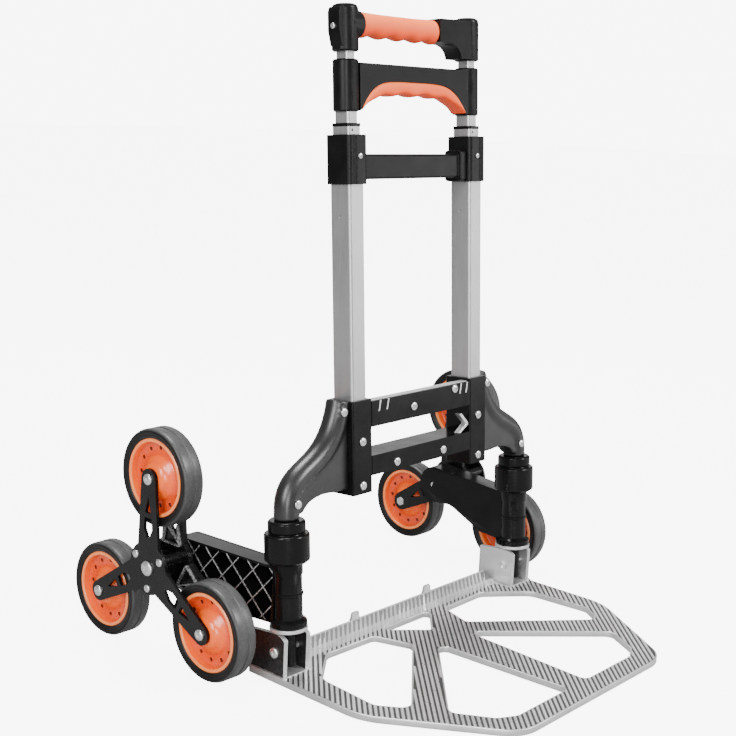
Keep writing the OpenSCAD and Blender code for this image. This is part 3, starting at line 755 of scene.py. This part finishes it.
# %% Raised back edge with its tabs
LIP_TOP = TOE_T + LIP_H
lip_section = [(LIP_Y, TOE_T - 1.2), (TOE_BACK - 0.2, TOE_T - 1.2), (TOE_BACK, LIP_TOP - 1.2),
               (TOE_BACK - 0.8, LIP_TOP - 0.6), (TOE_BACK - 3, LIP_TOP - 0.7), (LIP_Y, TOE_T - 0.7)]
shade_section = [(LIP_Y + 1.5, TOE_T - 0.6), (TOE_BACK - 3.8, LIP_TOP - 1.6),
                 (TOE_BACK - 3.8, LIP_TOP - 1.02), (LIP_Y + 1.5, TOE_T + 0.08)]
for name, section, material in (("lip", lip_section, CAST), ("lip_grooves", shade_section, SHADED)):
    ends = [[(x * MM, y * MM, z * MM) for y, z in section] for x in (-LIP_X, LIP_X)]
    settle(loft("toe_plate_" + name, ends, material, 30), "toe", "cast_aluminium", at=LEVEL)
tab_front, tab_back = TOE_BACK - 3, TOE_BACK - 0.1
tab_shape = ((9, LIP_TOP - 1), (6.5, LIP_TOP + 3), (6, LIP_TOP + 7.5), (4.5, LIP_TOP + 9))
for name, x in (("a", -68), ("b", 68)):
    rings = []
    for w, z in tab_shape:
        corners = [(x - w, tab_front), (x + w, tab_front), (x + w, tab_back), (x - w, tab_back)]
        rings.append([(cx * MM, cy * MM, z * MM) for cx, cy in corners])
    settle(loft("toe_tab_" + name, rings, CAST, 30), "toe", "cast_aluminium", at=LEVEL)
print("back edge ready")

# %% [markdown]
# ## Arched side tubes
# Each side tube is an aluminium casting: a round tube that sweeps from the socket out to the post, with a
# flat web under it. Casting leaves a generous fillet where the two meet. Building tube and web as rough
# volumes, merging them with a voxel remesh and relaxing the result gives that fillet for free.

# %% Sweep, merge and relax
ARCH = [Vector(p) for p in ((126, 0, 302), (146, 0, 215), (211.8, 0, 245), (211.8, 0, 190))]
ARCH_R, ARCH_END = 14.2, 182.0
SOCKET_FACE, WEB_HALF = 123.8, 11.0
ARCH_SCREWS = ((132.6, 291), (208, 200))


def bezier(points, t):
    a, b, c, d = points
    return a * (1 - t) ** 3 + b * 3 * t * (1 - t) ** 2 + c * 3 * t * t * (1 - t) + d * t ** 3


def arch_rings(count=36, sides=40):
    path = [bezier(ARCH, i / count) for i in range(count + 1)] + [Vector((211.8, 0, ARCH_END + 0.3))]
    rings = []
    for i, p in enumerate(path):
        ahead = path[min(i + 1, len(path) - 1)] - path[max(i - 1, 0)]
        d = ahead.normalized()
        n = Vector((-d.z, 0, d.x))
        rings.append([(p + (n * math.cos(a) + Vector((0, 1, 0)) * math.sin(a)) * ARCH_R) * MM
                      for a in (2 * math.pi * k / sides for k in range(sides))])
    return rings


def remeshed(obj, voxel, smooth_steps):
    """Voxel remesh, then relax."""
    remesh = obj.modifiers.new("merge", "REMESH")
    remesh.mode = "VOXEL"
    remesh.voxel_size = voxel * MM
    relax = obj.modifiers.new("relax", "SMOOTH")
    relax.iterations = smooth_steps
    relax.factor = 0.5
    apply_modifiers(obj)
    return obj


def joined(name, pieces):
    bm = bmesh.new()
    for piece in pieces:
        bm.from_mesh(piece.data)
    mesh = bpy.data.meshes.new(name)
    bm.to_mesh(mesh)
    bm.free()
    mesh.materials.append(pieces[0].data.materials[0])
    for piece in pieces:
        bpy.data.objects.remove(piece)
    return linked(name, mesh)


def trimmed(obj, x_limit):
    """Cuts away what would stand in the socket."""
    bm = bmesh.new()
    bm.from_mesh(obj.data)
    geometry = bm.verts[:] + bm.edges[:] + bm.faces[:]
    cut = bmesh.ops.bisect_plane(bm, geom=geometry, plane_co=(x_limit * MM, 0, 0),
                                 plane_no=(-1, 0, 0), clear_outer=True)
    rim = [e for e in cut["geom_cut"] if isinstance(e, bmesh.types.BMEdge)]
    bmesh.ops.holes_fill(bm, edges=rim, sides=0)
    bm.to_mesh(obj.data)
    bm.free()
    return obj


def side_copy(mesh, flip, home=Matrix.Identity(4)):
    """A copy for the right side, or a mirrored one for the left."""
    copy = mesh.copy()
    copy.transform(Matrix.Scale(flip, 4, (1, 0, 0)) @ home)
    if flip < 0:
        copy.flip_normals()
    return copy


web_loop = [(p.x, p.z) for p in (bezier(ARCH, i / 20) for i in range(21))]
web_loop += [(197, 187), (193, 192), (186, 197), (176, 200.5), (165, 202), (110, 199.5), (110, 302)]
tube = loft("arch_tube", arch_rings(), GUN)
web = plate("web", web_loop, [], -WEB_HALF, WEB_HALF, GUN)
web.data.transform(UPRIGHT)
bosses = []
for x, z in ARCH_SCREWS:
    boss = lathe("boss", [(0.1, 0), (5.8, 0), (5.8, ARCH_R), (0.1, ARCH_R)], GUN, 32)
    boss.data.transform(Matrix.Translation(Vector((x, 0, z)) * MM) @ UPRIGHT)
    bosses.append(boss)
cast_arm = remeshed(joined("arch", [tube, web, *bosses]), 1.1, 16)
cast_arm = trimmed(cast_arm, SOCKET_FACE)
for side, flip in SIDES:
    mesh = side_copy(cast_arm.data, flip)
    arm = linked(f"{side}_arch_casting", mesh)
    settle(arm, "frame", "gunmetal_paint", f"{side}_arch_arm", at=LEANED)
bpy.data.objects.remove(cast_arm)
print("arched side tubes", len(mesh.polygons), "faces each")

# %% [markdown]
# ## Grips
# Both grips are rubber sleeves with finger waves on the underside. They are lofts of rounded sections;
# the waves are one sine along the length, faded out towards the ends and towards the top of the section.

# %% Upper grip
GRIP_Z = 716.2
GRIP_SPAN = (-90.0, 42.5)


def fade(t, edge=0.12):
    """1 in the middle, 0 at both ends, smooth."""
    d = min(t, 1 - t) / edge
    return 1.0 if d >= 1 else d * d * (3 - 2 * d)


def upper_grip():
    rings = []
    count, sides = 70, 40
    for i in range(count + 1):
        t = i / count
        x = GRIP_SPAN[0] + (GRIP_SPAN[1] - GRIP_SPAN[0]) * t
        end = min(t, 1 - t) * (GRIP_SPAN[1] - GRIP_SPAN[0])
        shrink = 1 - 0.18 * max(0.0, 1 - end / 2.5) ** 2
        wave = 0.5 - 0.5 * math.cos(2 * math.pi * (t * 4.2 - 0.15))
        ring = []
        for k in range(sides):
            a = 2 * math.pi * k / sides
            y = 12.6 * math.cos(a)
            z = 14.2 * math.sin(a)
            under = max(0.0, -math.sin(a)) ** 1.5
            z += under * wave * 2.6 * fade(t)
            z -= max(0.0, math.sin(a)) ** 2 * 0.9 * fade(t, 0.3)
            ring.append((x * MM, y * shrink * MM, (GRIP_Z + z * shrink) * MM))
        rings.append(ring)
    return loft("upper_grip_sleeve", rings, GRIP, 50)


settle(upper_grip(), "top_stage", "grip_rubber", "upper_grip", at=LEANED)

# %% Lower grip
LOW_Z = 622.0
GRIP_X = TUBE_X / MM - 14.25


def arch_under(x):
    return LOW_Z + 35 - 34 * (abs(x) / GRIP_X) ** 5


def pad_under(x):
    return LOW_Z + 18.5 - 17 * (abs(x) / GRIP_X) ** 4


def lower_grip():
    rings = []
    count, x1 = 90, GRIP_X - 1.2
    for i in range(count + 1):
        t = i / count
        x = -x1 + 2 * x1 * t
        top, low = arch_under(x) + 0.8, pad_under(x)
        low += 2.6 * (0.5 - 0.5 * math.cos(2 * math.pi * (t * 5.0 - 0.5))) * fade(t, 0.3)
        half_z, mid = (top - low) / 2, (top + low) / 2
        ring = []
        for k in range(32):
            a = 2 * math.pi * k / 32
            ca, sa = math.cos(a), math.sin(a)
            y = 11.4 * math.copysign(abs(ca) ** 0.55, ca)
            z = half_z * math.copysign(abs(sa) ** 0.6, sa)
            ring.append((x * MM, y * MM, (mid + z) * MM))
        rings.append(ring)
    return loft("lower_grip_pad", rings, GRIP, 50)


settle(lower_grip(), "middle_stage", "grip_rubber", "lower_grip", at=LEANED)
print("grips ready")

# %% [markdown]
# ## Wheel arms
# A wheel arm is a nylon moulding: a flat inner wall, a flange all round, and a diamond lattice of ribs on
# the outside that keeps it stiff. The lattice lines are cut to the outline with the same walk as the
# tread.

# %% Arm outline and lattice
STAR_Y, STAR_Z, HUB_R = 147.8, 108.0, 26.0
arm_side = [(14, 64), (58, 64), (118, 86)] + arc(STAR_Y, STAR_Z, HUB_R - 0.2, -75, 90, 14) + [(14, 129.8)]
ARM_OUT0, ARM_OUT1 = 226.0, 245.0
ARM_IN0, ARM_IN1 = 199.5, 216.5
LATTICE_PITCH, LATTICE_SLOPE = 33.0, 1.15
FIRST_RIB, LAST_RIB = -260.0, 420
lattice_edge = inset(arm_side, 2.4)


def arm_x(y, share):
    """Distance from the middle plane at a depth behind the post: 0 is the arm's inner face, 1 its outer."""
    slant = min(1.0, max(0.0, y / (STAR_Y - 30)))
    inner = ARM_IN0 + (ARM_IN1 - ARM_IN0) * slant
    outer = ARM_OUT0 + (ARM_OUT1 - ARM_OUT0) * slant
    return inner + (outer - inner) * share


def arm_wall(name, s0, s1, windows=()):
    """The arm's outline as a plate, drawn flat and then moved between the slanting faces."""
    wall = plate(name, arm_side, windows, s0, s1, NYLON)
    for v in wall.data.vertices:
        y, z, share = v.co.x / MM, v.co.y / MM, v.co.z / MM
        v.co = Vector((arm_x(y, share), y, z)) * MM
    return wall


def lattice(name, thick, s0, s1, material):
    """Crossing ribs inside the outline, each a long box between two shares of the arm's depth."""
    verts, faces = [], []
    for slope in (LATTICE_SLOPE, -LATTICE_SLOPE):
        half = thick * math.sqrt(1 + slope * slope) / 2
        offset = FIRST_RIB
        while offset < LAST_RIB:
            for ends in stretches([lattice_edge], offset, slope):
                faces += [tuple(len(verts) + k for k in quad) for quad in BOX]
                for y in ends:
                    for z in (slope * y + offset - half, slope * y + offset + half):
                        verts += [Vector((arm_x(y, share), y, z)) * MM for share in (s0, s1)]
            offset += LATTICE_PITCH
    return solid(name, verts, faces, material, 20)


def wheel_arm():
    floor = arm_wall("floor", 0.0, 0.16)
    ring = arm_wall("ring", 0.1, 0.97, [inset(arm_side, 3.2)])
    ribs = lattice("lattice", 1.7, 0.1, 0.92, NYLON)
    # the caps along the rib tops carry the painted highlight
    caps = lattice("caps", 1.0, 0.9, 0.95, RIB_HIGHLIGHT)
    profile = [(6.3, -55.5), (19.0, -55.5), (20.0, -54.0), (20.0, -24.5), (18.5, -23.0), (6.3, -23.0)]
    hub = lathe("hub", profile, NYLON, 56)
    hub.data.transform(Matrix.Translation((WHEEL_X, STAR_Y * MM, STAR_Z * MM)) @ on_axle)
    return [floor, ring, ribs, caps, hub]


def arm_sleeve():
    profile = [(11.15, 61.7), (20.2, 61.7), (20.9, 62.4), (20.9, 67.2), (20.0, 68.4), (17.5, 69.6),
               (16.0, 71.0), (16.0, 96.4), (17.3, 97.4), (17.3, 99.4), (16.0, 100.4), (16.0, 119.5),
               (17.1, 121.4), (17.1, 132.8), (16.4, 133.4), (11.15, 133.4)]
    return lathe("sleeve", profile, NYLON, 64)


def sleeve_tooth(number):
    """One of the gear teeth round the foot of the sleeve."""
    corners = [(x, y, z) for x in (20.2, 23.3) for y in (-1.5, 1.5) for z in (61.9, 67.5)]
    tooth = solid(f"tooth{number}", [Vector(c) * MM for c in corners], BOX, NYLON)
    tooth.data.transform(Matrix.Rotation(math.radians(80 + 16 * number), 4, "Z"))
    return tooth


# %% Build one arm and copy it to both sides
at_post = LEANED @ Matrix.Translation((POST_X, 0, 0))
homes = [(piece, LEVEL) for piece in wheel_arm()]
homes += [(piece, at_post) for piece in (arm_sleeve(), *map(sleeve_tooth, range(7)))]
for side, flip in SIDES:
    for number, (piece, home) in enumerate(homes):
        obj = linked(f"{side}_arm_{piece.name}", side_copy(piece.data, flip, home))
        settle(obj, f"{side}_arm", "black_plastic", *([f"{side}_wheel_arm"] if number == 0 else []))
for piece, home in homes:
    bpy.data.objects.remove(piece)
print("wheel arms ready")

# %% [markdown]
# ## Small sheet-metal details
# Bright tabs of the backing strip show in the slanted slots of the upper beam, and the inner star plates
# carry raised stiffening ribs between the hub and the arms; their paler grey is a painted highlight.

# %% Tabs in the slots
TAB_CORNERS = ((0.5, 285.4), (2.7, 285.4), (5.6, 297.8), (3.5, 297.8))
TAB_DEPTHS = (-18.9, -14.9)
for number, left in enumerate((-80, -66, 70, 82)):
    rings = [[((left + x) * MM, y * MM, z * MM) for x, z in TAB_CORNERS] for y in TAB_DEPTHS]
    settle(loft(f"slot_tab_{number}", rings, ZINC, 20), "frame", "cast_aluminium", at=LEANED)

# %% Ribs of the inner star plates
RIB_LINES = (((-15, 22), (-10, 46)), ((15, 22), (10, 46)), ((-13, 26), (8, 44)), ((-14, 22), (14, 22)))
RIB_HALF, RIB_DEPTHS = 0.8, (258.9, 262.4)
star_centre = LEVEL @ Matrix.Translation((0, STAR_Y * MM, STAR_Z * MM))
for side, flip in SIDES:
    number = 0
    for angle in (0, 120, 240):
        home = star_centre @ Matrix.Rotation(math.radians(angle), 4, "X")
        for (t0, r0), (t1, r1) in RIB_LINES:
            start, end = Vector((0, t0, r0)), Vector((0, t1, r1))
            along = (end - start).normalized()
            across = Vector((0, -along.z, along.y)) * RIB_HALF
            edge = [start - across, end - across, end + across, start + across]
            rings = [[(p + Vector((flip * x, 0, 0))) * MM for p in edge] for x in RIB_DEPTHS]
            # the ribs' paler grey is a painted highlight
            rib = loft(f"{side}_star_rib_{number}", rings, RIB_HIGHLIGHT, 20)
            settle(rib, f"{side}_star", "black_steel", at=home)
            number += 1
print("sheet-metal details ready")

# %% [markdown]
# ## Fasteners
# Screws read as screws because of their domed head and the hexagon in it. Each one in the CAD groups is a
# separate closed piece, so its place and size are measured from the group's own mesh, and a detailed head
# is put there.

# %% Measure the loose pieces of a group


def islands(node):
    """Lowest and highest corner of the box round every separate solid in a CAD node."""
    bm = bmesh.new()
    bm.from_mesh(frame["nodes"][node].data)
    bmesh.ops.remove_doubles(bm, verts=bm.verts, dist=1e-6)
    left = set(bm.verts)
    found = []
    while left:
        stack = [left.pop()]
        cloud = []
        while stack:
            v = stack.pop()
            cloud.append(v.co.copy())
            for e in v.link_edges:
                w = e.other_vert(v)
                if w in left:
                    left.remove(w)
                    stack.append(w)
        lo = Vector([min(c[i] for c in cloud) for i in range(3)])
        hi = Vector([max(c[i] for c in cloud) for i in range(3)])
        found.append((lo, hi))
    bm.free()
    return sorted(found, key=lambda b: tuple(round(x, 4) for x in b[0]))


def circle(radius, z, sides=48):
    """A level ring of points; the radius is in millimetres and may depend on the angle."""
    angles = [2 * math.pi * k / sides for k in range(sides)]
    radii = [radius(a) if callable(radius) else radius for a in angles]
    return [(r * MM * math.cos(a), r * MM * math.sin(a), z * MM) for r, a in zip(radii, angles)]


def button_head(name, r, h):
    """Domed head with a hexagon recess; its seat is at z = 0 and it looks along +Z."""
    rings = [circle(r, 0), circle(r, h * 0.3)]
    for a in map(math.radians, (15, 30, 45, 58, 68)):
        rings.append(circle(r * math.cos(a) ** 0.8, h * (0.3 + 0.7 * math.sin(a))))
    flat = r * 0.44 * math.cos(math.pi / 6)

    def hexagon(a):
        return flat / math.cos(a % (math.pi / 3) - math.pi / 6)

    rings += [circle(hexagon, h * 0.97), circle(hexagon, h * 0.35)]
    return loft(name, rings, ZINC, 32)


# %% Screws of the frame
facing_front = LEANED.to_3x3().to_4x4() @ UPRIGHT
along = facing_front.to_3x3() @ Vector((0, 0, 1))
big_head = (button_head("frame_screw", 5.0, 2.2), 2.2)
small_head = (button_head("collar_screw", 3.2, 1.8), 1.8)
for number, (lo, hi) in enumerate(islands("frame_screws")):
    source, height = big_head if hi.x - lo.x > 8 * MM else small_head
    top = Vector(((lo.x + hi.x) / 2, lo.y, (lo.z + hi.z) / 2))
    home = Matrix.Translation(top - along * height * MM) @ facing_front
    obj = linked(f"frame_screw_{number:02d}", source.data)
    settle(obj, "frame", "zinc_steel", *(["frame_screws"] if number == 0 else []), at=home)
for source, height in (big_head, small_head):
    bpy.data.objects.remove(source)
print("frame screws", number + 1)

# %% Bolts across the wheels and the toe hinge
WHEEL_BOLT, SPACER_SCREW = (6.5, 3.9, 3.4), (4.6, 2.4, 2.5)
AXLE_BOLT, TOE_BOLT = (8.8, 5.9, 3.9), (6.3, 3.4, 3.4)
NUT_H = 3.2


def cross_bolt(name, lo, hi, outward, body, sizes, *nodes):
    """A bolt along X that fills a box: domed head on its outward side, hexagon nut on the other."""
    r_head, r_shank, h_head = sizes
    length = (hi.x - lo.x) / MM - h_head
    seat = (hi.x if outward > 0 else lo.x) - outward * h_head * MM
    home = Matrix.Translation((seat, (lo.y + hi.y) / 2, (lo.z + hi.z) / 2))
    home = home @ Matrix.Rotation(math.radians(90 * outward), 4, "Y")
    head = button_head(name + "_head", r_head, h_head)
    profile = [(0.2, -length), (r_shank * 0.7, -length), (r_shank, 0.5 - length), (r_shank, 0.2), (0.2, 0.2)]
    shank = lathe(name + "_shank", profile, ZINC, 32)
    corners = ((r_head * 0.86, 0.5 - length), (r_head, 1.0 - length), (r_head, NUT_H - length))
    nut = loft(name + "_nut", [circle(c, h, 6) for c, h in corners], CAST, 20)
    settle(head, body, "zinc_steel", *nodes, at=home)
    settle(shank, body, "zinc_steel", at=home)
    settle(nut, body, "zinc_steel", at=home)


for side, flip in SIDES:
    star = f"{side}_star"
    for number, (lo, hi) in enumerate(islands(star + "_bolts")):
        big = hi.y - lo.y > 11 * MM
        kind, sizes = ("wheel_bolt", WHEEL_BOLT) if big else ("spacer_screw", SPACER_SCREW)
        nodes = [star + "_bolts"] if number == 0 else []
        cross_bolt(f"{side}_{kind}_{number}", lo, hi, flip, star, sizes, *nodes)
    lo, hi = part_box(star + "_axle")
    cross_bolt(f"{side}_axle", lo, hi, flip, f"{side}_arm", AXLE_BOLT, star + "_axle")
for number, (lo, hi) in enumerate(islands("toe_hinge_bolts")):
    if hi.x - lo.x < 20 * MM:
        continue
    outward, nodes = (-1, ["toe_hinge_bolts"]) if lo.x + hi.x < 0 else (1, [])
    cross_bolt(f"toe_bolt_{number}", lo, hi, outward, "toe", TOE_BOLT, *nodes)
print("bolts ready")

# %% [markdown]
# ## What stays plain CAD
# Only the guides inside the main tubes keep their CAD mesh. They still get a finish.

# %% Finish the hidden guides
guides = frame["nodes"]["tube_guides"]
guides.data.materials.clear()
guides.data.materials.append(NYLON)

# %% [markdown]
# ## Stage, light and camera
# Floor and room look white to the camera but are dim for everything else, so black parts stay black. Six
# softboxes light the truck: a key from the front right, one from the left side, a narrow one beside the
# camera, a low one from the right, one above and a weak one far behind. The camera looks on from the
# front left corner.

# %% Floor
floor_mat = Paint("studio floor", Roughness=0.8, Emission_Strength=7.4)
floor_color = floor_mat.blend(floor_mat.ramp(floor_mat.noise(400, 2)), grey(0.30), grey(0.34))
seen = floor_mat.node("LightPath")
floor_mat.set(Base_Color=floor_color, Emission_Color=floor_mat.blend(seen, grey(0.0), grey(1.0)))
bpy.ops.mesh.primitive_plane_add(size=40, location=(0, 0, -0.0006))
floor = bpy.context.object
floor.name = "studio_floor"
floor.data.materials.append(floor_mat.material)

# %% Lights


def softbox(name, spot, target, size, watts):
    data = bpy.data.lights.new(name, "AREA")
    data.shape = "RECTANGLE"
    data.size, data.size_y = size
    data.energy = watts
    lamp = linked(name, data)
    lamp.location = spot
    lamp.rotation_euler = (Vector(target) - Vector(spot)).to_track_quat("-Z", "Y").to_euler()
    lamp.visible_camera = False


softbox("key", (1.3, -2.6, 2.2), (0, 0, 0.3), (1.0, 1.0), 150)
softbox("side", (-2.6, -0.6, 1.6), (0, 0, 0.3), (1.0, 1.6), 85)
softbox("front", (-1.9, -2.1, 0.7), (0, 0, 0.4), (0.5, 1.4), 40)
softbox("low", (2.6, -2.3, 0.5), (0, 0, 0.4), (1.6, 1.0), 20)
softbox("top", (0.2, 0.6, 2.8), (0, 0, 0.1), (1.0, 1.0), 110)
softbox("far", (2.6, 2.4, 1.3), (0, 0, 0.2), (3.0, 1.2), 11)
world = bpy.data.worlds.new("studio")
world.use_nodes = True
sky = world.node_tree
seen = sky.nodes.new("ShaderNodeLightPath")
level = sky.nodes.new("ShaderNodeMapRange")
level.inputs["To Min"].default_value = 0.35
level.inputs["To Max"].default_value = 8.0
sky.links.new(seen.outputs["Is Camera Ray"], level.inputs["Value"])
sky.links.new(level.outputs["Result"], sky.nodes["Background"].inputs["Strength"])
sky.nodes["Background"].inputs["Color"].default_value = (1, 1, 1, 1)
bpy.context.scene.world = world
print("lights ready")

# %% Camera
CAMERA_AT = Vector((-1.1948, -0.9665 + row_y, 0.6307))
YAW, PITCH, ROLL = math.radians(41.537), math.radians(11.747), math.radians(-2.42)
camera_data = bpy.data.cameras.new("catalogue camera")
camera = linked("catalogue camera", camera_data)
ahead = Vector((math.cos(YAW) * math.cos(PITCH), math.sin(YAW) * math.cos(PITCH), -math.sin(PITCH)))
right = ahead.cross(Vector((0, 0, 1))).normalized()
down = ahead.cross(right)
right_rolled = right * math.cos(ROLL) + down * math.sin(ROLL)
down_rolled = down * math.cos(ROLL) - right * math.sin(ROLL)
axes = Matrix((right_rolled, -down_rolled, -ahead)).transposed()
camera.matrix_world = Matrix.Translation(CAMERA_AT) @ axes.to_4x4()
camera_data.lens = 64.69
camera_data.sensor_width = 36
camera_data.shift_x = 0.0019
camera_data.shift_y = 0.014
camera_data.clip_end = 60
bpy.context.scene.camera = camera
print("camera ready")

import json
